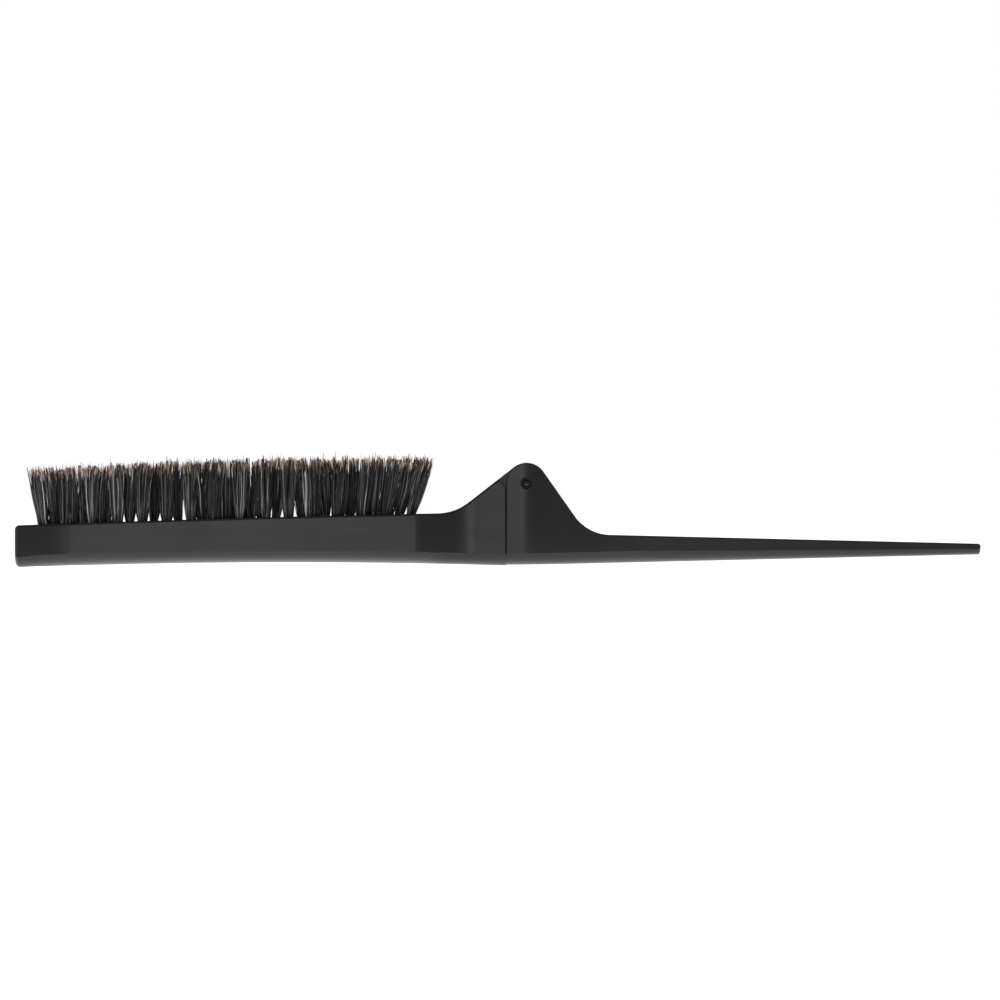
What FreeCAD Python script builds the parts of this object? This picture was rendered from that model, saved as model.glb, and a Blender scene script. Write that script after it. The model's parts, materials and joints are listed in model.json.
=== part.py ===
"""Folding back-combing brush: a bristled head and a rat-tail handle that folds over the bristles.

Millimetres. +X runs from the head's free end to the tail's tip, +Z is up (the way the bristles
point) and Y is across the brush. The origin is the middle of the underside of the open brush.
"""
import FreeCAD, Part
import math
import os

import Sketcher

V = FreeCAD.Vector

# ---------------------------------------------------------------- driving dimensions

DIMENSIONS = [
    # hinge
    ("pin_x", 6.96, "hinge axis, along the brush"),
    ("pin_z", 20.6, "hinge axis, height"),
    ("knuckle_radius", 5.0, "rounded top of the fork and the tongue, about the hinge axis"),
    ("slot_gap", 0.25, "room between the tongue and the floor of the fork's slot"),
    ("tongue_width", 4.2, "thickness of the head's middle tongue"),
    ("slot_width", 4.4, "width of the slot in the tail's fork"),
    ("slot_reach", 14.0, "length of the slot's straight flank, which leaves the fork"),
    ("butt_x", 1.97, "where the butt faces of the head and the open tail meet"),
    ("rivet_diameter", 1.5, "hinge rivet's shank"),
    ("tongue_bore", 1.6, "running hole for the rivet in the tongue"),
    ("recess_diameter", 3.06, "sunk hole round each end of the rivet"),
    ("recess_floor", 5.0, "distance of each recess floor from the middle plane"),
    ("rivet_flange_diameter", 2.86, "flat flange round the rivet's domed head"),
    ("rivet_head_diameter", 1.8, "dome on the flange"),
    ("rivet_formed_diameter", 2.1, "the end that is set over the washer"),
    ("rivet_rim", 0.3, "straight edge of the rivet's factory head"),
    ("rivet_formed_rim", 0.15, "straight edge of the end that is set over the washer"),
    ("rivet_crown", 0.34, "rise of both domes above their edges"),
    ("washer_diameter", 2.9, "washer under the set end of the rivet"),
    ("washer_thickness", 0.25, "the same washer"),
    # head
    ("head_end_x", -118.1, "free end of the head"),
    ("head_half_width", 7.5, "half width over the bristled stretch"),
    ("head_end_half_width", 5.6, "half width at the free end"),
    ("head_taper_x", -109.0, "where the sides start to close in to the free end"),
    ("head_taper_radius", 45.0, "curve of the sides there"),
    ("head_shoulder_x", -18.2, "where the sides start to close in to the waist"),
    ("head_shoulder_radius", 11.4, "curve of the sides there"),
    ("waist_x", -11.2, "corner of the waist"),
    ("waist_half_width", 5.0, "half width at that corner"),
    ("waist_radius", 26.0, "hollow curve of the sides there"),
    ("fork_half_width", 6.2, "half width at the hinge"),
    ("head_end_z", 10.3, "height of the bristled face at the free end"),
    ("head_neck_z", 13.23, "height of the bristled face at the neck"),
    ("neck_x", -14.6, "where the bristled face turns up to the hinge"),
    ("face_camber_radius", 5900.0, "lengthwise camber of the bristled face"),
    ("neck_radius", 12.5, "hollow curve from the bristled face to the slope"),
    ("neck_slope", 37.9, "slope from the neck up to the hinge, degrees"),
    ("face_slope", 1.6, "slope of the bristled face at the neck, degrees"),
    ("shoulder_x", 0.1, "top of the diagonal stop face"),
    ("shoulder_z", 21.25, "its height"),
    ("shoulder_foot_z", 18.95, "foot of the diagonal stop face"),
    # underside
    ("arch_x", -51.0, "top of the long arch under the head"),
    ("arch_z", 1.291, "its height"),
    ("arch_radius", 1730.0, "radius of the arch"),
    ("tail_foot_z", 1.164, "the tail's lowest line at its root"),
    ("tip_foot_z", 3.18, "the same at the tip"),
    ("level_x", 20.0, "where that line starts to level off towards the hinge"),
    ("level_radius", 1080.0, "radius of that curve"),
    ("belly_flat", 0.45, "flat middle of the underside, as a share of the width"),
    ("belly_fullness", 1.7, "radius of its flanks, as a multiple of one that is tangent to the flat"),
    ("belly_rise", 2.8, "height of the flanks, under the head and the fork"),
    ("tail_belly_rise", 2.7, "the same where the tail starts its taper"),
    ("tip_belly_rise", 1.4, "the same at the tip"),
    # tail
    ("fork_butt_half_width", 5.9, "half width of the fork at its butt face"),
    ("fork_side_radius", 20.0, "curve of the fork's sides at the hinge"),
    ("tail_slope", 54.9, "slope from the hinge down to the tail, degrees"),
    ("tail_hollow_radius", 11.0, "hollow curve from that slope to the tail"),
    ("tail_root_x", 30.0, "where the tail reaches its straight taper"),
    ("tail_root_half_width", 3.6, "half width there"),
    ("root_blend", 6.0, "half the stretch over which the plan turns into the taper"),
    ("tail_root_z", 7.9, "height of the tail's top there"),
    ("tail_tip_x", 118.1, "tip of the tail"),
    ("tail_tip_half_width", 1.75, "half width at the tip"),
    ("tail_tip_z", 5.8, "height of the tail's top at the tip"),
    # rounded edges
    ("top_edge_radius", 0.5, "small round on the head's upper edges"),
    ("tail_edge_radius", 0.3, "small round on the fork's butt face and the tail's upper edges"),
    ("end_edge_radius", 1.2, "round on the head's free end"),
    ("tip_edge_radius", 0.7, "round on the tail's tip"),
    ("butt_edge_radius", 0.3, "small round on the head's butt face"),
    # tufts
    ("tuft_first_x", -111.08, "first tuft position"),
    ("tuft_step", 2.99, "distance between tuft positions, which alternate between rows"),
    ("row_spacing", 3.7, "distance between the three rows"),
    ("hole_diameter", 2.3, "tuft hole"),
    ("hole_depth", 5.0, "tuft hole"),
    ("tuft_tip_radius", 2.1, "spread of a tuft at its tip"),
    ("tuft_height", 13.2, "height of the end tufts above the face"),
    ("tuft_crown", 0.9, "extra height of the middle tufts"),
    ("lean_start", 11.5, "lean of the first tuft towards the free end, degrees"),
    ("lean_end", 19.5, "lean of the last tuft towards the hinge, degrees"),
    ("lean_side", 3.0, "lean of the outer rows away from the middle, degrees"),
    ("anchor_length", 2.6, "flat wire anchor, across the hole"),
    ("anchor_thickness", 0.35, "flat wire anchor"),
    ("anchor_height", 1.5, "flat wire anchor"),
]
TUFT_POSITIONS = 31
ROOT_LIFT = 0.4        # a tuft stays straight this far above its hole
LEAN_ZONE_START = 24.0  # length of the stretch where the first tufts lean
LEAN_ZONE_END = 30.0   # length of the stretch where the last tufts lean
BELOW = -4.0           # a level below the whole brush
ABOVE = 34.0           # a level above the head and the tail
PAST = 2.0             # how far a cutting outline runs past the piece
PAST_SIDE = 0.5        # the same for a belly's section, across the brush
OUTWARD = 20.0         # length of a cut that leaves the piece sideways
FORK_PITCH = 4         # distance between the belly's sections under the fork
LEAST_REACH = 1.16     # least reach of a belly's flank, as a multiple of its rise
NEAR = 0.01            # tolerance for picking edges by their place

doc = FreeCAD.newDocument("folding_brush")
dims = doc.addObject("Spreadsheet::Sheet", "dims")
for row, (alias, value, note) in enumerate(DIMENSIONS, 1):
    dims.set(f"A{row}", note)
    dims.set(f"B{row}", str(value))
    dims.setAlias(f"B{row}", alias)
doc.recompute()


def size(value):
    """A cell's number for an alias, or the number itself."""
    return float(dims.get(value)) if isinstance(value, str) else float(value)


def polar(radius, degrees, centre):
    """A point at a radius and an angle from a centre in the sketch's plane."""
    turn = math.radians(degrees)
    return centre[0] + radius * math.cos(turn), centre[1] + radius * math.sin(turn)


def crossing(point_a, angle_a, point_b, angle_b):
    """Where two lines meet, each given by a point and an angle in degrees."""
    ax, ay = math.cos(math.radians(angle_a)), math.sin(math.radians(angle_a))
    bx, by = math.cos(math.radians(angle_b)), math.sin(math.radians(angle_b))
    along = ((point_b[0] - point_a[0]) * by - (point_b[1] - point_a[1]) * bx) / (ax * by - ay * bx)
    return point_a[0] + along * ax, point_a[1] + along * ay


# ---------------------------------------------------------------- sketch and feature helpers


def new_sketch(body, name, role, offset=0.0):
    """A sketch on one of the body's own origin planes, moved along the plane's normal."""
    sketch = body.newObject("Sketcher::SketchObject", name)
    plane = next(item for item in body.Origin.OriginFeatures if item.Role == role)
    sketch.AttachmentSupport = [(plane, "")]
    sketch.MapMode = "FlatFace"
    sketch.AttachmentOffset = FreeCAD.Placement(V(0, 0, offset), FreeCAD.Rotation())
    return sketch


def bind(sketch, constraint, value):
    """Adds a constraint, and ties it to a cell when the value is an alias."""
    index = sketch.addConstraint(Sketcher.Constraint(*constraint, size(value)))
    if isinstance(value, str):
        sketch.setExpression(f"Constraints[{index}]", f"{dims.Name}.{value}")


def arc_between(start, end, radius):
    """The short arc from start to end. A positive radius turns left, a negative one right."""
    middle = (start + end) * 0.5
    half = (end - start) * 0.5
    rise = math.sqrt(max(radius * radius - half.Length ** 2, 0.0))
    left = V(-half.y, half.x, 0).normalize()
    centre = middle + left * math.copysign(rise, radius)
    first, last = (start, end) if radius > 0 else (end, start)
    angles = [math.atan2(point.y - centre.y, point.x - centre.x) for point in (first, last)]
    return Part.ArcOfCircle(Part.Circle(centre, V(0, 0, 1), abs(radius)), *angles)


def draw_loop(sketch, corners):
    """A closed outline. A corner is (x, y), or (x, y, radius) when an arc leaves it.

    A coordinate or a radius is a number or a cell's alias; a negative turn is ("-", alias).
    """
    points = [V(size(corner[0]), size(corner[1]), 0) for corner in corners]
    ends = []
    for index, corner in enumerate(corners):
        start, end = points[index], points[(index + 1) % len(points)]
        if len(corner) == 2:
            edge = sketch.addGeometry(Part.LineSegment(start, end), False)
            ends.append((edge, 1, 2))
            continue
        flipped = isinstance(corner[2], tuple)
        radius = corner[2][1] if flipped else corner[2]
        turn = -size(radius) if flipped else size(radius)
        edge = sketch.addGeometry(arc_between(start, end, turn), False)
        ends.append((edge, 2, 1) if flipped else (edge, 1, 2))
        bind(sketch, ("Radius", edge), radius)
    for index, (edge, first, last) in enumerate(ends):
        bind(sketch, ("DistanceX", -1, 1, edge, first), corners[index][0])
        bind(sketch, ("DistanceY", -1, 1, edge, first), corners[index][1])
        following, start, _ = ends[(index + 1) % len(ends)]
        sketch.addConstraint(Sketcher.Constraint("Coincident", edge, last, following, start))


def both_sides(upper):
    """A plan outline from its +Y side, listed from -X to +X, with the same corners mirrored."""
    lower = []
    for index in reversed(range(len(upper))):
        arc = upper[index - 1][2:] if index else ()
        lower.append((upper[index][0], -size(upper[index][1]), *arc))
    return upper + lower


def frame_loop(sketch, low, high):
    """A rectangle that surrounds the piece, so that a pocket removes all outside an outline."""
    draw_loop(sketch, [(low[0], low[1]), (high[0], low[1]), (high[0], high[1]), (low[0], high[1])])


def cut_through(body, sketch, name, length=None, reverse=False):
    """A pocket, through everything both ways or one way to a length. It has to remove material."""
    before = body.Shape.Volume
    pocket = body.newObject("PartDesign::Pocket", name)
    pocket.Profile = sketch
    if length is None:
        pocket.SideType = "Symmetric"
        pocket.Length = 4 * ABOVE
    elif isinstance(length, str):
        pocket.SideType = "Symmetric"
        pocket.setExpression("Length", f"{dims.Name}.{length}")
    else:
        pocket.Length = length
        pocket.Reversed = reverse
    doc.recompute()
    if body.Shape.Volume > before - 1e-3:
        raise RuntimeError(f"{name} removes nothing")


def pad_up(body, sketch, name):
    """The plan outline raised from below the brush to above it."""
    pad = body.newObject("PartDesign::Pad", name)
    pad.Profile = sketch
    pad.Length = ABOVE - BELOW
    doc.recompute()


def round_edges(body, name, chosen, alias):
    """A fillet, with a cell's radius, on the edges for which chosen(edge, middle) is true."""
    shape = body.Shape
    names = []
    for index, edge in enumerate(shape.Edges, 1):
        middle = edge.valueAt((edge.FirstParameter + edge.LastParameter) / 2)
        if chosen(edge, middle):
            names.append(f"Edge{index}")
    if not names:
        raise RuntimeError(f"{name} finds no edge")
    base = body.Tip
    fillet = body.newObject("PartDesign::Fillet", name)
    fillet.Base = (base, names)
    fillet.setExpression("Radius", f"{dims.Name}.{alias}")
    doc.recompute()


def upright_at(x):
    """Chooses the upright edges of a plan outline at one place along the brush."""
    return lambda edge, middle: edge.BoundBox.ZLength > 10 and abs(middle.x - size(x)) < NEAR


def butt_test(x):
    """Chooses the outer upright edges of a butt face."""
    return lambda edge, middle: (abs(middle.x - size(x)) < NEAR and abs(middle.y) > 4
                                 and edge.BoundBox.ZLength > 5)


def rim_test(body, low_x, high_x):
    """Chooses the edges where the side outline's faces meet the outer upright sides."""
    shape = body.Shape

    def chosen(edge, middle):
        if not low_x < middle.x < high_x:
            return False
        faces = shape.ancestorsOfType(edge, Part.Face)
        normals = [face.normalAt(*face.Surface.parameter(middle)) for face in faces]
        upper = any(abs(normal.y) < NEAR and normal.z > 0.1 for normal in normals)
        upright = any(abs(normal.z) < NEAR and abs(normal.y) > 0.3 for normal in normals)
        return upper and upright

    return chosen


def half_width(shape, x):
    """Half the width of a piece at one place along the brush."""
    return max(wire.BoundBox.YMax for wire in shape.slice(V(1, 0, 0), x))


def belly_station(shape, x, bottom, rise):
    """A belly's section at x: a flat middle, and crowned flanks that meet the sides at a rise.

    The flanks go a little past the sides, so that they cut them cleanly. Where the piece is narrow
    the flat gives way, so that the flanks never turn back.
    """
    inside = min(max(x, shape.BoundBox.XMin + NEAR), shape.BoundBox.XMax - NEAR)
    width = half_width(shape, inside)
    flat = min(size("belly_flat") * width, width - LEAST_REACH * rise)
    reach = width - flat
    radius = size("belly_fullness") * (reach ** 2 + rise ** 2) / (2 * rise)
    start = math.atan2(rise, reach) - math.asin(math.hypot(reach, rise) / 2 / radius)
    past = min(PAST_SIDE, (radius * (1 - math.sin(start)) - reach) / 2)
    end = math.asin(math.sin(start) + (reach + past) / radius)
    edge = bottom + radius * (math.cos(start) - math.cos(end))
    return x, bottom, flat, edge, width + past, radius


def round_belly(body, name, stations):
    """Cuts the underside to a belly, a loft through sections from belly_station."""
    before = body.Shape.Volume
    sections = []
    for index, (x, bottom, flat, edge, span, radius) in enumerate(stations):
        section = new_sketch(body, f"{name}_{index}", "YZ_Plane", x)
        draw_loop(section, [
            (-span, BELOW - PAST),
            (span, BELOW - PAST),
            (span, edge, ("-", radius)),
            (flat, bottom),
            (-flat, bottom, ("-", radius)),
            (-span, edge),
        ])
        sections.append(section)
    loft = body.newObject("PartDesign::SubtractiveLoft", name)
    loft.Profile = sections[0]
    loft.Sections = sections[1:]
    doc.recompute()
    if body.Shape.Volume > before - 1e-3:
        raise RuntimeError(f"{name} removes nothing")


# ---------------------------------------------------------------- places shared by the pieces

PIN = (size("pin_x"), size("pin_z"))
KNUCKLE = size("knuckle_radius")
neck_tangent = polar(KNUCKLE, 90 + size("neck_slope"), PIN)
tail_tangent = polar(KNUCKLE, 90 - size("tail_slope"), PIN)


def face_height(x):
    """Height of the cambered bristled face."""
    low = V(size("head_end_x"), size("head_end_z"), 0)
    high = V(size("neck_x"), size("head_neck_z"), 0)
    camber = arc_between(low, high, -size("face_camber_radius"))
    centre = camber.Center
    return centre.y + math.sqrt(camber.Radius ** 2 - (x - centre.x) ** 2)


# ---------------------------------------------------------------- head


def make_head():
    """The solid moulding that holds the bristles and ends in the hinge tongue."""
    body = doc.addObject("PartDesign::Body", "head_body")

    # Plan: straight sides, closing in at the free end and at the waist, widening to the hinge.
    tongue_end = PIN[0] + KNUCKLE + PAST
    plan = new_sketch(body, "head_plan", "XY_Plane", BELOW)
    upper = [
        ("head_end_x", "head_end_half_width"),
        ("head_taper_x", "head_half_width"),
        ("head_shoulder_x", "head_half_width"),
        ("waist_x", "waist_half_width"),
        ("pin_x", "fork_half_width"),
        (tongue_end, "fork_half_width"),
    ]
    draw_loop(plan, both_sides(upper))
    pad_up(body, plan, "head_blank")
    round_edges(body, "head_taper_round", upright_at("head_taper_x"), "head_taper_radius")
    round_edges(body, "head_shoulder_round", upright_at("head_shoulder_x"), "head_shoulder_radius")
    round_edges(body, "waist_round", upright_at("waist_x"), "waist_radius")
    blank = body.Shape

    # Side: bristled face, hollow neck, slope to the hinge, rounded tongue, butt face.
    neck = ("neck_x", "head_neck_z")
    turn = size("neck_slope") - size("face_slope")
    chord = 2 * size("neck_radius") * math.sin(math.radians(turn / 2))
    slope_foot = polar(chord, size("face_slope") + turn / 2, (size(neck[0]), size(neck[1])))
    side = new_sketch(body, "head_side", "XZ_Plane")
    frame_loop(side, (-130, BELOW - PAST), (40, ABOVE + PAST))
    draw_loop(side, [
        ("head_end_x", BELOW - 1),
        ("head_end_x", "head_end_z", ("-", "face_camber_radius")),
        (*neck, "neck_radius"),
        slope_foot,
        (*neck_tangent, ("-", "knuckle_radius")),
        (PIN[0] + KNUCKLE, "pin_z", ("-", "knuckle_radius")),
        ("pin_x", PIN[1] - KNUCKLE),
        ("butt_x", PIN[1] - KNUCKLE),
        ("butt_x", BELOW - 1),
    ])
    cut_through(body, side, "head_outline")

    # The fork's cheeks run on both sides of the tongue; the diagonal face stops the folded tail.
    diagonal = (size("shoulder_x") - size("butt_x"), size("shoulder_z") - size("shoulder_foot_z"))
    for name, sign in (("near", 1), ("far", -1)):
        cheek = new_sketch(body, f"cheek_room_{name}", "XZ_Plane", sign * size("tongue_width") / 2)
        draw_loop(cheek, [
            ("butt_x", BELOW - 1),
            ("butt_x", "shoulder_foot_z"),
            (size("butt_x") + 4 * diagonal[0], size("shoulder_foot_z") + 4 * diagonal[1]),
            (40, size("shoulder_foot_z") + 4 * diagonal[1]),
            (40, BELOW - 1),
        ])
        cut_through(body, cheek, f"cheek_cut_{name}", OUTWARD, reverse=sign > 0)
    round_edges(body, "head_butt_round", butt_test("butt_x"), "butt_edge_radius")

    # Underside: a belly that follows the plan, under a long shallow arch. The sections are closer
    # together where the plan curves.
    belly = []
    for x in (-119, -112, -104, -90, -75, -60, -45, -32, -24, -20, -17, -14, -11, -8, -5, -2, 1, 4, 7):
        bottom = size("arch_z") - (x - size("arch_x")) ** 2 / (2 * size("arch_radius"))
        belly.append(belly_station(blank, x, bottom, size("belly_rise")))
    round_belly(body, "head_belly", belly)

    bore = new_sketch(body, "tongue_bore", "XZ_Plane")
    circle = bore.addGeometry(Part.Circle(V(*PIN, 0), V(0, 0, 1), size("tongue_bore") / 2), False)
    bind(bore, ("Diameter", circle), "tongue_bore")
    bind(bore, ("DistanceX", -1, 1, circle, 3), "pin_x")
    bind(bore, ("DistanceY", -1, 1, circle, 3), "pin_z")
    cut_through(body, bore, "tongue_hole")

    end_x = size("head_end_x")
    round_edges(body, "head_end_round", lambda edge, middle: edge.BoundBox.XMax < end_x + NEAR,
                "end_edge_radius")
    round_edges(body, "head_rim_round", rim_test(body, end_x + 1, size("shoulder_x") - 0.2),
                "top_edge_radius")
    return body


# ---------------------------------------------------------------- tail


def make_tail():
    """The rat-tail handle, with the fork of the hinge at its root."""
    body = doc.addObject("PartDesign::Body", "tail_body")
    body.Label = "tail_handle"

    # Plan: widest at the hinge, a quick narrowing to the root, then the long taper to the tip.
    root = (size("tail_root_x"), size("tail_root_half_width"))
    narrowing = math.degrees(math.atan2(root[1] - size("fork_half_width"), root[0] - PIN[0]))
    tapering = math.degrees(math.atan2(size("tail_tip_half_width") - root[1],
                                       size("tail_tip_x") - root[0]))
    blend = size("root_blend")
    blend_radius = blend / math.tan(math.radians((tapering - narrowing) / 2))
    plan = new_sketch(body, "tail_plan", "XY_Plane", BELOW)
    upper = [
        ("butt_x", "fork_butt_half_width"),
        ("pin_x", "fork_half_width"),
        (*polar(-blend, narrowing, root), blend_radius),
        polar(blend, tapering, root),
        ("tail_tip_x", "tail_tip_half_width"),
    ]
    draw_loop(plan, both_sides(upper))
    pad_up(body, plan, "tail_blank")
    round_edges(body, "fork_round", upright_at("pin_x"), "fork_side_radius")
    blank = body.Shape

    # Side: butt face, rounded knuckle, steep slope, hollow curve, long straight taper.
    taper = math.degrees(math.atan2(size("tail_tip_z") - size("tail_root_z"),
                                    size("tail_tip_x") - size("tail_root_x")))
    corner = crossing(tail_tangent, -size("tail_slope"),
                      (size("tail_root_x"), size("tail_root_z")), taper)
    reach = size("tail_hollow_radius") * math.tan(math.radians((size("tail_slope") + taper) / 2))
    hollow_start = polar(reach, 180 - size("tail_slope"), corner)
    hollow_end = polar(reach, taper, corner)
    butt_drop = math.sqrt(KNUCKLE ** 2 - (PIN[0] - size("butt_x")) ** 2)
    side = new_sketch(body, "tail_side", "XZ_Plane")
    frame_loop(side, (-10, BELOW - PAST), (130, ABOVE + PAST))
    draw_loop(side, [
        ("butt_x", BELOW - 1),
        ("butt_x", PIN[1] - butt_drop, ("-", "knuckle_radius")),
        tail_tangent,
        (*hollow_start, "tail_hollow_radius"),
        hollow_end,
        ("tail_tip_x", "tail_tip_z"),
        ("tail_tip_x", BELOW - 1),
    ])
    cut_through(body, side, "tail_outline")

    # The round runs on from the butt face, over the knuckle and along the whole tail.
    round_edges(body, "tail_rim_round", butt_test("butt_x"), "tail_edge_radius")

    # Underside: nearly level under the hinge, then a straight rise to the tip.
    foot_slope = (size("tip_foot_z") - size("tail_foot_z")) / (size("tail_tip_x") - root[0])

    def belly_at(x, alias):
        levelling = max(0.0, size("level_x") - x) ** 2 / (2 * size("level_radius"))
        foot = size("tail_foot_z") + foot_slope * (x - root[0]) + levelling
        return belly_station(blank, x, foot, size(alias))

    blend_end = root[0] + blend
    taper_start = belly_at(blend_end, "tail_belly_rise")
    beyond_tip = belly_at(size("tail_tip_x") + PAST, "tip_belly_rise")
    fork_belly = [belly_at(x, "belly_rise") for x in range(-FORK_PITCH, int(blend_end), FORK_PITCH)]
    round_belly(body, "fork_belly", fork_belly + [taper_start])
    round_belly(body, "tail_belly", [taper_start, beyond_tip])

    tip_x = size("tail_tip_x")
    round_edges(body, "tail_tip_round", lambda edge, middle: edge.BoundBox.XMin > tip_x - NEAR,
                "tip_edge_radius")

    # The slot takes the tongue, whose neck swings from the left, over the top, to the right.
    slot_radius = KNUCKLE + size("slot_gap")
    slot_turn = polar(slot_radius, size("neck_slope") - 90, PIN)
    slot_exit = polar(size("slot_reach"), size("neck_slope"), slot_turn)
    slot = new_sketch(body, "fork_slot", "XZ_Plane")
    draw_loop(slot, [
        (-5, PIN[1] - slot_radius),
        (PIN[0], PIN[1] - slot_radius, slot_radius),
        slot_turn,
        slot_exit,
        (slot_exit[0], ABOVE),
        (-5, ABOVE),
    ])
    cut_through(body, slot, "fork_slot_cut", "slot_width")

    bore = new_sketch(body, "rivet_bore", "XZ_Plane")
    circle = bore.addGeometry(Part.Circle(V(*PIN, 0), V(0, 0, 1), size("rivet_diameter") / 2), False)
    bind(bore, ("Diameter", circle), "rivet_diameter")
    cut_through(body, bore, "rivet_hole")

    # A round recess sinks each end of the rivet.
    for name, sign in (("near", 1), ("far", -1)):
        recess = new_sketch(body, f"rivet_recess_{name}", "XZ_Plane", sign * size("recess_floor"))
        circle = recess.addGeometry(
            Part.Circle(V(*PIN, 0), V(0, 0, 1), size("recess_diameter") / 2), False)
        bind(recess, ("Diameter", circle), "recess_diameter")
        cut_through(body, recess, f"recess_{name}", size("fork_half_width"), reverse=sign > 0)
    return body


# ---------------------------------------------------------------- hinge rivet and its washer


def make_rivet():
    """A domed rivet through the fork and the tongue, set over a washer on the far side."""
    body = doc.addObject("PartDesign::Body", "rivet_body")
    body.Label = "hinge_rivet"
    shank = size("rivet_diameter") / 2
    flange = size("rivet_flange_diameter") / 2
    head = size("rivet_head_diameter") / 2
    formed = size("rivet_formed_diameter") / 2
    crown = size("rivet_crown")
    near_seat = -size("recess_floor")
    near_rim = near_seat - size("rivet_rim")
    far_seat = size("recess_floor") + size("washer_thickness")
    far_rim = far_seat + size("rivet_formed_rim")
    near_dome, far_dome = ((rim ** 2 + crown ** 2) / (2 * crown) for rim in (head, formed))
    profile = new_sketch(body, "rivet_profile", "XY_Plane")
    draw_loop(profile, [
        (0, near_rim - crown, near_dome),
        (head, near_rim),
        (flange, near_rim),
        (flange, near_seat),
        (shank, near_seat),
        (shank, far_seat),
        (formed, far_seat),
        (formed, far_rim, far_dome),
        (0, far_rim + crown),
    ])
    turned = body.newObject("PartDesign::Revolution", "rivet_turned")
    turned.Profile = profile
    turned.ReferenceAxis = (profile, ["V_Axis"])
    turned.Angle = 360
    body.Placement = FreeCAD.Placement(V(PIN[0], 0, PIN[1]), FreeCAD.Rotation())
    doc.recompute()
    return body


def make_washer():
    """The flat washer that the rivet is set over."""
    outer = doc.addObject("Part::Cylinder", "washer_blank")
    inner = doc.addObject("Part::Cylinder", "washer_hole")
    for disc, alias in ((outer, "washer_diameter"), (inner, "rivet_diameter")):
        disc.setExpression("Radius", f"{dims.Name}.{alias} / 2")
        disc.setExpression("Height", f"{dims.Name}.washer_thickness")
    ring = doc.addObject("Part::Cut", "washer_ring")
    ring.Label = "rivet_washer"
    ring.Base = outer
    ring.Tool = inner
    ring.Placement = FreeCAD.Placement(V(PIN[0], size("recess_floor"), PIN[1]),
                                       FreeCAD.Rotation(V(1, 0, 0), -90))
    return ring


# ---------------------------------------------------------------- tufts


def tuft_places():
    """Name, place and height of each tuft: outer rows on even positions, middle row on odd."""
    first, step = size("tuft_first_x"), size("tuft_step")
    last = first + step * (TUFT_POSITIONS - 1)
    places = []
    for row, parity, side in (("A", 0, -1), ("B", 1, 0), ("C", 0, 1)):
        for number, index in enumerate(range(parity, TUFT_POSITIONS, 2), 1):
            x = first + step * index
            near_start = max(0.0, 1 - (x - first) / LEAN_ZONE_START)
            near_end = max(0.0, 1 - (last - x) / LEAN_ZONE_END)
            lean = size("lean_end") * near_end ** 1.5 - size("lean_start") * near_start ** 1.5
            across = 2 * index / (TUFT_POSITIONS - 1) - 1
            height = size("tuft_height") + size("tuft_crown") * (1 - across ** 2)
            axis = V(math.tan(math.radians(lean)), math.tan(math.radians(side * size("lean_side"))), 1)
            place = FreeCAD.Placement(V(x, side * size("row_spacing"), face_height(x)),
                                      FreeCAD.Rotation(V(0, 0, 1), axis))
            places.append((f"tuft_{row}{number:02d}", place, height * axis.Length))
    return places


def make_tufts(head_body):
    """The tufts, the flat wires that hold them, and the head with a hole for each."""
    roots, anchors, tufts = [], [], []
    for label, place, length in tuft_places():
        root = doc.addObject("Part::Cylinder", f"root_{label}")
        root.setExpression("Radius", f"{dims.Name}.hole_diameter / 2")
        root.setExpression("Height", f"{dims.Name}.hole_depth + {ROOT_LIFT}")
        root.Placement = place * FreeCAD.Placement(V(0, 0, -size("hole_depth")), FreeCAD.Rotation())
        flare = doc.addObject("Part::Cone", f"flare_{label}")
        flare.setExpression("Radius1", f"{dims.Name}.hole_diameter / 2")
        flare.setExpression("Radius2", f"{dims.Name}.tuft_tip_radius")
        flare.Height = length - ROOT_LIFT
        flare.Placement = place * FreeCAD.Placement(V(0, 0, ROOT_LIFT), FreeCAD.Rotation())
        anchor = doc.addObject("Part::Box", f"anchor_{label}")
        anchor.setExpression("Length", f"{dims.Name}.anchor_length")
        anchor.setExpression("Width", f"{dims.Name}.anchor_thickness")
        anchor.setExpression("Height", f"{dims.Name}.anchor_height")
        corner = V(-size("anchor_length") / 2, -size("anchor_thickness") / 2, -size("hole_depth"))
        anchor.Placement = place * FreeCAD.Placement(corner, FreeCAD.Rotation())
        whole = doc.addObject("Part::Fuse", f"whole_{label}")
        whole.Base = root
        whole.Tool = flare
        tuft = doc.addObject("Part::Cut", f"cut_{label}")
        tuft.Label = label
        tuft.Base = whole
        tuft.Tool = anchor
        roots.append(root)
        anchors.append(anchor)
        tufts.append(tuft)

    anchor_set = doc.addObject("Part::Compound", "anchor_set")
    anchor_set.Label = "tuft_anchors"
    anchor_set.Links = anchors
    holes = doc.addObject("Part::Compound", "tuft_holes")
    holes.Links = roots + anchors
    head = doc.addObject("Part::Cut", "drilled_head")
    head.Label = "head_stock"
    head.Base = head_body
    head.Tool = holes
    return [head] + tufts + [anchor_set]


# ---------------------------------------------------------------- build, check and write

pieces = make_tufts(make_head()) + [make_tail(), make_rivet(), make_washer()]
doc.recompute()

for item in doc.Objects:
    if "Invalid" in item.State or "Error" in item.State:
        raise RuntimeError(f"{item.Name} failed: {item.State}")
for piece in pieces:
    if piece.Shape.isNull() or not piece.Shape.isValid():
        raise RuntimeError(f"{piece.Label} has no valid shape")

os.makedirs("parts", exist_ok=True)
for piece in pieces:
    piece.Shape.exportStep(f"parts/{piece.Label}.step")
    print(f"{piece.Label}: {len(piece.Shape.Solids)} solid(s), {piece.Shape.Volume:.1f} mm3")
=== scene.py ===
import json
import math

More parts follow.
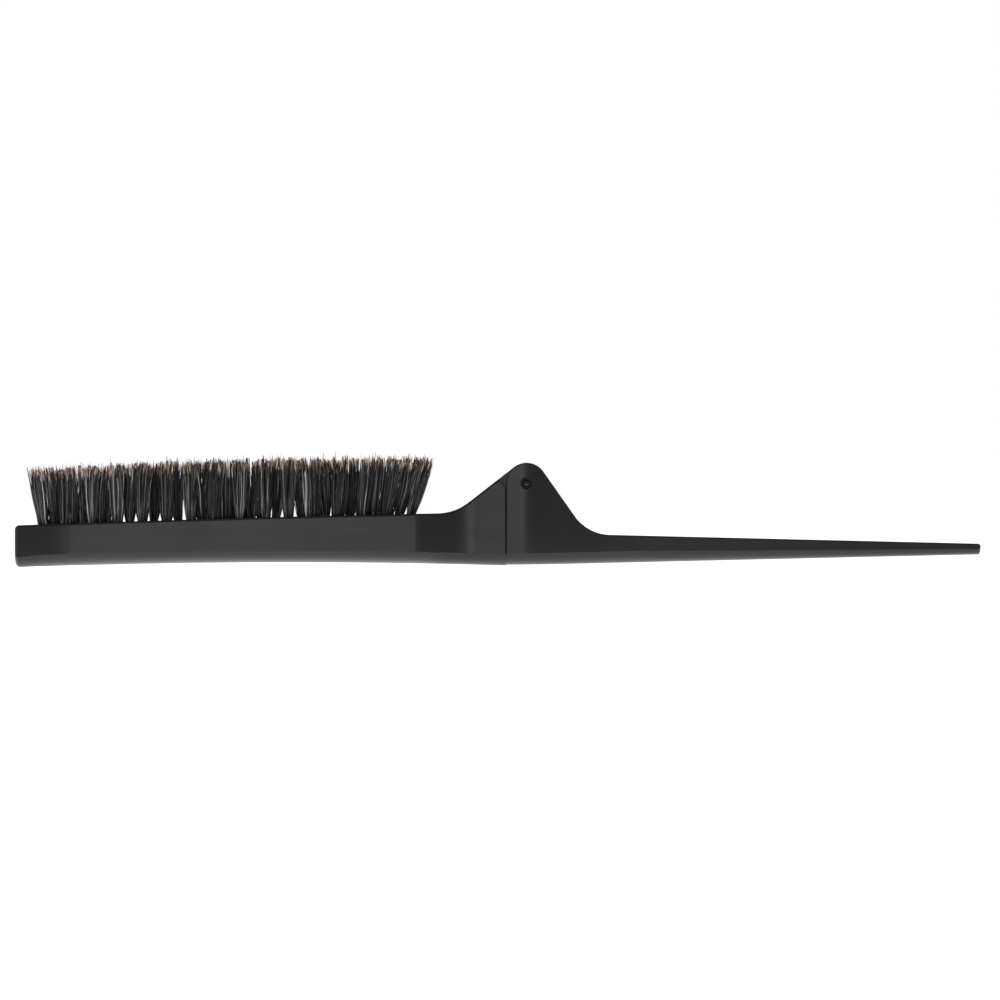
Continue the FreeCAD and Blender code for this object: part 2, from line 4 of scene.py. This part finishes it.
import bpy
import numpy as np
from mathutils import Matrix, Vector


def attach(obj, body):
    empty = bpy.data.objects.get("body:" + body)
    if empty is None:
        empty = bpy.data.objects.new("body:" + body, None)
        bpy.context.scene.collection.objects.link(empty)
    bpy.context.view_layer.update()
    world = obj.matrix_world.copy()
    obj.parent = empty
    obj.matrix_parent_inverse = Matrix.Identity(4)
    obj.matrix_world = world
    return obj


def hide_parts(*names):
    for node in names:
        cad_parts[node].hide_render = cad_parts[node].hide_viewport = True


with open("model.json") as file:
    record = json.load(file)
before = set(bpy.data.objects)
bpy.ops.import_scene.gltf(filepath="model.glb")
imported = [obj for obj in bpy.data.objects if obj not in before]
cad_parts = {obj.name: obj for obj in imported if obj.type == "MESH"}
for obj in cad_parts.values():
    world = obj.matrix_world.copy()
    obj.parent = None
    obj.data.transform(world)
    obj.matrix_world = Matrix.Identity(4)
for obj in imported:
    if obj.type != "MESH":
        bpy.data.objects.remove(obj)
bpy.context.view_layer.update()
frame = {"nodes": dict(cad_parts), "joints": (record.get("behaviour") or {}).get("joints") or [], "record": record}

MM = 0.001


# ---------------------------------------------------------------- node helpers


class Shader:
    """A material's node tree, with short calls for the nodes that this scene uses."""

    def __init__(self, name):
        self.material = bpy.data.materials.new(name)
        self.material.use_nodes = True
        self.tree = self.material.node_tree
        self.surface = self.tree.nodes["Principled BSDF"]

    def node(self, kind, **settings):
        made = self.tree.nodes.new(kind)
        for key, value in settings.items():
            setattr(made, key, value)
        return made

    def link(self, output, target):
        self.tree.links.new(output, target)

    def place(self):
        """Coordinates in metres that ride with the piece."""
        return self.node("ShaderNodeTexCoord").outputs["Object"]

    def noise(self, scale, detail=2.0, roughness=0.5, stretch=None):
        vector = self.place()
        if stretch:
            mapping = self.node("ShaderNodeMapping")
            mapping.inputs["Scale"].default_value = stretch
            self.link(vector, mapping.inputs["Vector"])
            vector = mapping.outputs["Vector"]
        made = self.node("ShaderNodeTexNoise")
        made.inputs["Scale"].default_value = scale
        made.inputs["Detail"].default_value = detail
        made.inputs["Roughness"].default_value = roughness
        self.link(vector, made.inputs["Vector"])
        return made.outputs["Fac"]

    def distance(self, centre, axes):
        """Distance in metres from a centre, measured along the axes that are 1 and not 0."""
        offset = self.node("ShaderNodeVectorMath", operation="SUBTRACT")
        offset.inputs[1].default_value = centre
        self.link(self.place(), offset.inputs[0])
        kept = self.node("ShaderNodeVectorMath", operation="MULTIPLY")
        kept.inputs[1].default_value = axes
        self.link(offset.outputs["Vector"], kept.inputs[0])
        length = self.node("ShaderNodeVectorMath", operation="LENGTH")
        self.link(kept.outputs["Vector"], length.inputs[0])
        return length.outputs["Value"]

    def attribute(self, name):
        return self.node("ShaderNodeAttribute", attribute_name=name).outputs["Fac"]

    def ramp(self, value, stops):
        """A colour ramp; a stop is (position, colour) with a grey level or three numbers."""
        made = self.node("ShaderNodeValToRGB")
        elements = made.color_ramp.elements
        while len(elements) < len(stops):
            elements.new(0.5)
        for element, (position, colour) in zip(elements, stops):
            colour = colour if isinstance(colour, tuple) else (colour,) * 3
            element.position = position
            element.color = (*colour, 1)
        self.link(value, made.inputs["Fac"])
        return made.outputs["Color"]

    def span(self, value, low, high, new_low, new_high):
        made = self.node("ShaderNodeMapRange")
        for key, number in (("From Min", low), ("From Max", high),
                            ("To Min", new_low), ("To Max", new_high)):
            made.inputs[key].default_value = number
        self.link(value, made.inputs["Value"])
        return made.outputs["Result"]

    def sum(self, first, second):
        made = self.node("ShaderNodeMath", operation="ADD")
        self.link(first, made.inputs[0])
        self.link(second, made.inputs[1])
        return made.outputs["Value"]

    def mix(self, factor, first, second):
        made = self.node("ShaderNodeMix", data_type="RGBA")
        self.link(factor, made.inputs["Factor"])
        self.link(first, made.inputs["A"])
        self.link(second, made.inputs["B"])
        return made.outputs["Result"]

    def bump(self, height, strength, distance, under=None):
        made = self.node("ShaderNodeBump")
        made.inputs["Strength"].default_value = strength
        made.inputs["Distance"].default_value = distance
        self.link(height, made.inputs["Height"])
        if under:
            self.link(under, made.inputs["Normal"])
        return made.outputs["Normal"]

    def finish(self, colour, roughness, normal=None, **values):
        self.link(colour, self.surface.inputs["Base Color"])
        self.link(roughness, self.surface.inputs["Roughness"])
        if normal:
            self.link(normal, self.surface.inputs["Normal"])
        for key, value in values.items():
            self.surface.inputs[key.replace("_", " ")].default_value = value
        return self.material


# ---------------------------------------------------------------- materials

RUBBED_RADIUS = 0.7 * MM    # the rivet's crown is shiny up to this distance from its axis
COATED_RADIUS = 1.0 * MM    # and has its matt coat from this one
# Painted light: the floor glows, most of all beside the brush, lighting the brush's underside and washing out its
# shadow.
PAINTED_GLOW_NEAR = 2.6             # the floor's painted glow beside the brush
PAINTED_GLOW_FAR = 1.1              # and further away
PAINTED_GLOW_FADE_START = 18 * MM   # distance from the brush's middle plane where the painted glow starts to fade
PAINTED_GLOW_FADE_END = 60 * MM     # and where it is down to the far value


def moulded_plastic():
    """Black satin plastic: a fine spark-eroded grain, faint flow clouds and a few soft rubs."""
    shader = Shader("black_plastic")
    clouds = shader.noise(55, 3)
    rubs = shader.noise(240, 4, 0.65, stretch=(0.25, 1, 1))
    grain = shader.noise(5200, 2, 0.6)
    colour = shader.ramp(clouds, [(0.3, (0.0034, 0.0036, 0.0042)), (0.7, (0.0048, 0.0050, 0.0056))])
    roughness = shader.sum(shader.span(clouds, 0.3, 0.7, 0.24, 0.27),
                           shader.span(rubs, 0.45, 0.75, -0.005, 0.02))
    normal = shader.bump(grain, 0.1, 0.00002)
    normal = shader.bump(rubs, 0.02, 0.0001, under=normal)
    return shader.finish(colour, roughness, normal, Specular_IOR_Level=0.2)


def blackened_metal():
    """The rivet and its washer: steel with a matt black coat that is rubbed shiny on the crown."""
    shader = Shader("dark_rivet")
    from_pin = shader.distance(centre=frame["joints"][0]["pos_m"], axes=(1, 0, 1))
    patches = shader.noise(900, 3)
    pits = shader.noise(4200, 2)
    colour = shader.ramp(patches, [(0.35, (0.001, 0.001, 0.001)), (0.7, (0.004, 0.004, 0.004))])
    roughness = shader.sum(shader.span(from_pin, RUBBED_RADIUS, COATED_RADIUS, 0.13, 0.7),
                           shader.span(patches, 0.3, 0.7, 0.0, 0.06))
    return shader.finish(colour, roughness, shader.bump(pits, 0.1, 0.00002), Specular_IOR_Level=0.3)


def drawn_wire():
    """The flat wire of the tuft anchors, drawn lengthwise."""
    shader = Shader("anchor_wire")
    lines = shader.noise(3000, 2, stretch=(0.1, 1, 1))
    colour = shader.ramp(lines, [(0.3, (0.42, 0.41, 0.39)), (0.7, (0.58, 0.57, 0.55))])
    roughness = shader.span(lines, 0.3, 0.7, 0.25, 0.4)
    return shader.finish(colour, roughness, shader.bump(lines, 0.1, 0.00002), Metallic=1.0)


def bristle_finish():
    """Mixed bristle: black and dark grey strands, some pale, many with a brown or tan tip."""
    shader = Shader("bristle")
    shade = shader.attribute("shade")
    strand = shader.ramp(shade, [
        (0.0, (0.001, 0.001, 0.0011)),
        (0.4, (0.007, 0.007, 0.0074)),
        (0.7, (0.034, 0.034, 0.0355)),
        (0.88, (0.15, 0.15, 0.15)),
        (1.0, (0.55, 0.55, 0.545)),
    ])
    tip = shader.ramp(shader.attribute("warm"), [
        (0.0, (0.003, 0.002, 0.002)),
        (0.3, (0.025, 0.013, 0.010)),
        (0.5, (0.16, 0.07, 0.045)),
        (0.7, (0.48, 0.29, 0.20)),
        (1.0, (0.9, 0.82, 0.74)),
    ])
    streak = shader.noise(900, 2, stretch=(4, 4, 0.35))
    reach = shader.sum(shader.attribute("tipping"), shader.span(streak, 0.3, 0.7, -0.03, 0.03))
    colour = shader.mix(shader.span(reach, 0.0, 0.07, 0.0, 0.95), strand, tip)
    roughness = shader.span(streak, 0.3, 0.7, 0.36, 0.5)
    normal = shader.bump(streak, 0.08, 0.00003)
    return shader.finish(colour, roughness, normal, Specular_IOR_Level=0.32)


def floor_with_painted_glow():
    """Pale studio floor with a painted glow like a light table's: its emission is a painted pool of light,
    strongest beside the brush, that lights the brush's underside and fades its shadow on the floor.
    """
    shader = Shader("floor_painted_glow")
    mottle = shader.noise(6, 2)
    colour = shader.ramp(mottle, [(0.3, 0.24), (0.7, 0.25)])
    from_brush = shader.distance(centre=(0, 0, 0), axes=(0, 1, 0))
    # Painted light: the emission is strongest beside the brush and fades further away.
    painted_glow = shader.span(from_brush, PAINTED_GLOW_FADE_START, PAINTED_GLOW_FADE_END, PAINTED_GLOW_NEAR, PAINTED_GLOW_FAR)
    shader.link(painted_glow, shader.surface.inputs["Emission Strength"])
    return shader.finish(colour, shader.span(mottle, 0.3, 0.7, 0.85, 0.9),
                         Emission_Color=(1, 1, 1, 1), Specular_IOR_Level=0.0)


FINISHES = {
    "black_plastic": moulded_plastic(),
    "dark_rivet": blackened_metal(),
    "anchor_wire": drawn_wire(),
    "bristle": bristle_finish(),
}


def dress(node, finish):
    """Puts a finish into every material slot of a CAD node's object."""
    for place in node.material_slots:
        place.material = FINISHES[finish]


for part in frame["record"]["subparts"]:
    dress(frame["nodes"][part["node"]], part["material_slot"])


# ---------------------------------------------------------------- bristles

HOLE_RADIUS = 1.15 * MM
HOLE_DEPTH = 5.0 * MM
HOLE_WALL_ROOM = 0.12 * MM  # between the outermost centre lines and the hole's wall
ROOT_DEPTH = 1.4 * MM       # how far the strands are followed down into the hole
BRISTLES = 118              # in one tuft
CLUMPS = 11                 # groups of strands that cling together at their tips
SIDES = 5                   # of a strand's section
# Where a strand's rings are, from its root to its tip: closer at the hole's mouth and at the tip.
STATIONS = np.array([0.0, 0.09, 0.13, 0.2, 0.34, 0.5, 0.66, 0.8, 0.91, 1.0])
FIRST_SEED = 4100           # for the random draws of the first tuft

# How tufts differ from one another.
TIP_SPREAD = 2.05           # how much wider a tuft is at its tips than in its hole
SPREAD_SCATTER = 0.05
LEAN_SCATTER = (0.024, 0.014)   # along and across the brush, as shares of a strand's length
SWAY_SCATTER = 0.14 * MM    # how far a whole tuft bows
SPLAYED_SHARE = 0.36        # of the tufts splay at the hole's mouth
SPLAY = 0.75                # by this share of their width
SPLAY_HEIGHT = 0.4 * MM     # over about this height
SPLAY_DEPTH = 0.8 * MM      # and from this depth

# How strands differ within a tuft.
CLING_RANGE = (0.1, 0.75)   # how far strands close up to the middle of their group
TIP_SCATTER = 0.17 * MM
FLYING_SHARE = 0.05         # of the strands stand out from the tuft
FLYING_RANGE = (1.1, 1.45)  # by these factors
TALL_BY = 0.1 * MM          # how far a group reaches past the CAD tuft's tip, on average
GROUP_SCATTER = 0.4 * MM    # of the groups' reach
RAGGED_SHAPE = 1.8          # of the gamma distribution by which strands fall short of their group
RAGGED_SCALE = 0.46 * MM
STRAY_SHARE = 0.07          # of the strands stand above the others
STRAY_RANGE = (0.2, 1.1)    # by this much, in mm
BOW_SCATTER = 0.2 * MM
RIPPLE_SCATTER = 0.06 * MM
HOOK_SCATTER = 0.12 * MM    # how far the last stretch of a strand curls

# Thick pale quills among the fine strands.
QUILL_SHARE = 0.12
QUILL_RADIUS = (0.13, 0.17)     # mm
QUILL_TAPER = 0.25          # share of the radius that is lost towards the tip
QUILL_SHADE = (0.3, 1.0)
FINE_RADIUS = (0.08, 0.12)      # mm
FINE_TAPER = 0.6
FINE_SHADE = (0, 0.93)
TIP_START = (0.8, 0.96)     # where along a strand its coloured tip starts


def tuft_axis(node):
    """The foot and the tip of a tuft's axis, from the CAD tuft that the strands stand for."""
    points = np.array([vertex.co for vertex in frame["nodes"][node].data.vertices])
    upwards = np.argsort(points[:, 2])
    at_one_end = max(8, len(upwards) // 12)
    foot = points[upwards[:at_one_end]].mean(0)
    tip = points[upwards[-at_one_end:]].mean(0)
    return foot, tip


def unit(vector):
    return vector / np.linalg.norm(vector)


def disc(rng, count, radius):
    """Random places spread evenly over a disc."""
    turn = rng.uniform(0, 2 * math.pi, count)
    ring = radius * np.sqrt(rng.uniform(0, 1, count))
    return np.stack([ring * np.cos(turn), ring * np.sin(turn)], 1)


def strand_paths(foot, tip, rng):
    """Centre lines of a tuft's strands: packed in the hole, fanning out in clinging groups."""
    length = np.linalg.norm(tip - foot) - HOLE_DEPTH
    axis = unit(tip - foot)
    side = unit(np.cross((0.0, 1.0, 0.0), axis))
    other = np.cross(axis, side)
    plane = np.stack([side, other])
    mouth = foot + axis * HOLE_DEPTH

    # The tuft as a whole: it leans and fans out a little differently from its neighbours.
    spread = TIP_SPREAD * rng.normal(1.0, SPREAD_SCATTER)
    stray_lean = rng.normal(0, LEAN_SCATTER) * length
    sway = rng.normal(0, SWAY_SCATTER, 2)
    skirt = SPLAY if rng.uniform() < SPLAYED_SHARE else 0.0

    # Each strand ends near its own line or, in part, at the middle of its group.
    start = disc(rng, BRISTLES, HOLE_RADIUS - HOLE_WALL_ROOM)
    centres = disc(rng, CLUMPS, HOLE_RADIUS)
    group = np.argmin(np.linalg.norm(start[:, None] - centres[None], axis=2), axis=1)
    cling = rng.uniform(*CLING_RANGE, CLUMPS)[group][:, None]
    end = (start * (1 - cling) + centres[group] * cling) * spread
    end += rng.normal(0, TIP_SCATTER, (BRISTLES, 2))
    fly = rng.uniform(0, 1, BRISTLES) < FLYING_SHARE
    end = np.where(fly[:, None], end * rng.uniform(*FLYING_RANGE, (BRISTLES, 1)), end)
    end += stray_lean

    # How far each strand reaches above the face.
    reach = length + TALL_BY + rng.normal(0, GROUP_SCATTER, CLUMPS)[group]
    reach -= rng.gamma(RAGGED_SHAPE, RAGGED_SCALE, BRISTLES)
    stray = rng.uniform(0, 1, BRISTLES) < STRAY_SHARE
    reach += np.where(stray, rng.uniform(*STRAY_RANGE, BRISTLES) * MM, 0)

    # The way up: a fan, a bow, a slight ripple and a curl at the tip.
    bow = rng.normal(0, BOW_SCATTER, (BRISTLES, 2)) + sway
    ripple = rng.normal(0, RIPPLE_SCATTER, (BRISTLES, 2))
    hook = rng.normal(0, HOOK_SCATTER, (BRISTLES, 2))
    rows = []
    for station in STATIONS:
        level = -ROOT_DEPTH + station * (reach + ROOT_DEPTH)
        up = np.clip(level / reach, 0, 1)[:, None]
        risen = np.maximum(level + SPLAY_DEPTH, 0)
        splay = 1 + skirt * (1 - np.exp(-risen / SPLAY_HEIGHT))[:, None] * (1 - up)
        across = start * splay + (end - start) * (0.55 * up + 0.45 * np.sqrt(up))
        across = across + bow * np.sin(math.pi * up) + ripple * np.sin(3 * math.pi * up)
        across = across + hook * up ** 4
        rows.append(mouth + axis * level[:, None] + across @ plane)
    return np.stack(rows, 1)


def strand_mesh(name, paths, radii, taper):
    """One mesh of round, capped strands along the paths."""
    count, rings = paths.shape[:2]
    along = np.gradient(paths, axis=1)
    along /= np.linalg.norm(along, axis=2, keepdims=True)
    side = np.cross(along, (0.0, 1.0, 0.0))
    side /= np.linalg.norm(side, axis=2, keepdims=True)
    other = np.cross(along, side)
    turn = np.arange(SIDES) * 2 * math.pi / SIDES
    circle = (side[:, :, None] * np.cos(turn)[:, None] + other[:, :, None] * np.sin(turn)[:, None])
    width = radii[:, None] * (1 - taper[:, None] * STATIONS ** 3)
    points = (paths[:, :, None] + circle * width[:, :, None, None]).reshape(-1, 3)

    faces = []
    for strand in range(count):
        first = strand * rings * SIDES
        for ring in range(rings - 1):
            low = first + ring * SIDES
            for step in range(SIDES):
                follow = (step + 1) % SIDES
                faces.append((low + step, low + follow, low + SIDES + follow, low + SIDES + step))
        faces.append(tuple(first + step for step in reversed(range(SIDES))))
        faces.append(tuple(first + (rings - 1) * SIDES + step for step in range(SIDES)))
    mesh = bpy.data.meshes.new(name)
    mesh.from_pydata(points.tolist(), [], faces)
    mesh.polygons.foreach_set("use_smooth", [len(face) == 4 for face in faces])
    return mesh


def paint_strands(mesh, shade, warm, tip_start):
    """Attributes for the bristle finish: grey level, tip colour, and height above the tip's start."""
    per_ring = SIDES * len(STATIONS)
    height = np.tile(np.repeat(STATIONS, SIDES), len(shade))
    for label, values in (
        ("shade", np.repeat(shade, per_ring)),
        ("warm", np.repeat(warm, per_ring)),
        ("tipping", height - np.repeat(tip_start, per_ring)),
    ):
        mesh.attributes.new(label, "FLOAT", "POINT").data.foreach_set("value", values)


def make_tuft(node, seed):
    """The strands that stand for one CAD tuft."""
    rng = np.random.default_rng(seed)
    paths = strand_paths(*tuft_axis(node), rng)
    quill = rng.uniform(0, 1, BRISTLES) < QUILL_SHARE
    thick = rng.uniform(*QUILL_RADIUS, BRISTLES)
    fine = rng.uniform(*FINE_RADIUS, BRISTLES)
    radii = np.where(quill, thick, fine) * MM
    name = node.replace("tuft_", "strands_")
    mesh = strand_mesh(name, paths, radii, np.where(quill, QUILL_TAPER, FINE_TAPER))
    quill_shade = rng.uniform(*QUILL_SHADE, BRISTLES)
    fine_shade = rng.uniform(*FINE_SHADE, BRISTLES)
    shade = np.where(quill, quill_shade, fine_shade)
    warm = rng.uniform(0, 1, BRISTLES)
    tip_start = rng.uniform(*TIP_START, BRISTLES)
    paint_strands(mesh, shade, warm, tip_start)
    mesh.materials.append(FINISHES["bristle"])
    piece = bpy.data.objects.new(name, mesh)
    bpy.context.scene.collection.objects.link(piece)
    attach(piece, "brush_head")
    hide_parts(node)


ROWS = ("tuft_A", "tuft_B", "tuft_C")
tuft_nodes = sorted(name for name in frame["nodes"] if name.startswith(ROWS))
for number, tuft in enumerate(tuft_nodes):
    make_tuft(tuft, FIRST_SEED + number)


# ---------------------------------------------------------------- floor, light and camera

FLOOR_REACH = 6.0           # metres from the middle to each side
KEY_PLACE = (-0.15, -2.1, 0.03)
KEY_TARGET = (-0.06, 0, 0.01)
KEY_SIZE = 0.2              # metres, both ways
KEY_POWER = 2.8             # watts
SKY_AS_LIGHT = 0.6
SKY_AS_SEEN = 1.0
CAMERA_DISTANCE = 2.0
CAMERA_SIDE = 0.47 * MM     # the picture's middle, along the brush
CAMERA_HEIGHT = 16.5 * MM
PICTURE_WIDTH = 0.2449      # metres, at the brush
SENSOR_WIDTH = 36.0         # mm


def make_floor():
    mesh = bpy.data.meshes.new("floor")
    signs = ((-1, -1), (1, -1), (1, 1), (-1, 1))
    corners = [(FLOOR_REACH * x, FLOOR_REACH * y, 0) for x, y in signs]
    mesh.from_pydata(corners, [], [(0, 1, 2, 3)])
    mesh.materials.append(floor_with_painted_glow())
    floor = bpy.data.objects.new("floor", mesh)
    bpy.context.scene.collection.objects.link(floor)


def make_key_light():
    """One soft light near the camera."""
    lamp = bpy.data.lights.new("key", "AREA")
    lamp.shape = "RECTANGLE"
    lamp.size = KEY_SIZE
    lamp.size_y = KEY_SIZE
    lamp.energy = KEY_POWER
    holder = bpy.data.objects.new("key", lamp)
    holder.location = KEY_PLACE
    aim = Vector(KEY_TARGET) - Vector(KEY_PLACE)
    holder.rotation_euler = aim.to_track_quat("-Z", "Y").to_euler()
    bpy.context.scene.collection.objects.link(holder)


def make_world():
    """A white room, dimmer as a light than as a background."""
    world = bpy.data.worlds.new("studio")
    world.use_nodes = True
    tree = world.node_tree
    seen = tree.nodes.new("ShaderNodeLightPath").outputs["Is Camera Ray"]
    strength = tree.nodes.new("ShaderNodeMapRange")
    strength.inputs["To Min"].default_value = SKY_AS_LIGHT
    strength.inputs["To Max"].default_value = SKY_AS_SEEN
    sky = tree.nodes["Background"]
    sky.inputs["Color"].default_value = (1, 1, 1, 1)
    tree.links.new(seen, strength.inputs["Value"])
    tree.links.new(strength.outputs["Result"], sky.inputs["Strength"])
    bpy.context.scene.world = world


def make_camera():
    """Level, square to the brush's side, with a long lens."""
    lens = bpy.data.cameras.new("camera")
    lens.sensor_width = SENSOR_WIDTH
    lens.lens = SENSOR_WIDTH * CAMERA_DISTANCE / PICTURE_WIDTH
    lens.clip_start = 0.01
    camera = bpy.data.objects.new("camera", lens)
    camera.location = (CAMERA_SIDE, -CAMERA_DISTANCE, CAMERA_HEIGHT)
    camera.rotation_euler = (math.radians(90), 0, 0)
    bpy.context.scene.collection.objects.link(camera)
    bpy.context.scene.camera = camera


make_floor()
make_key_light()
make_world()
make_camera()
bpy.context.scene.view_settings.view_transform = "Standard"
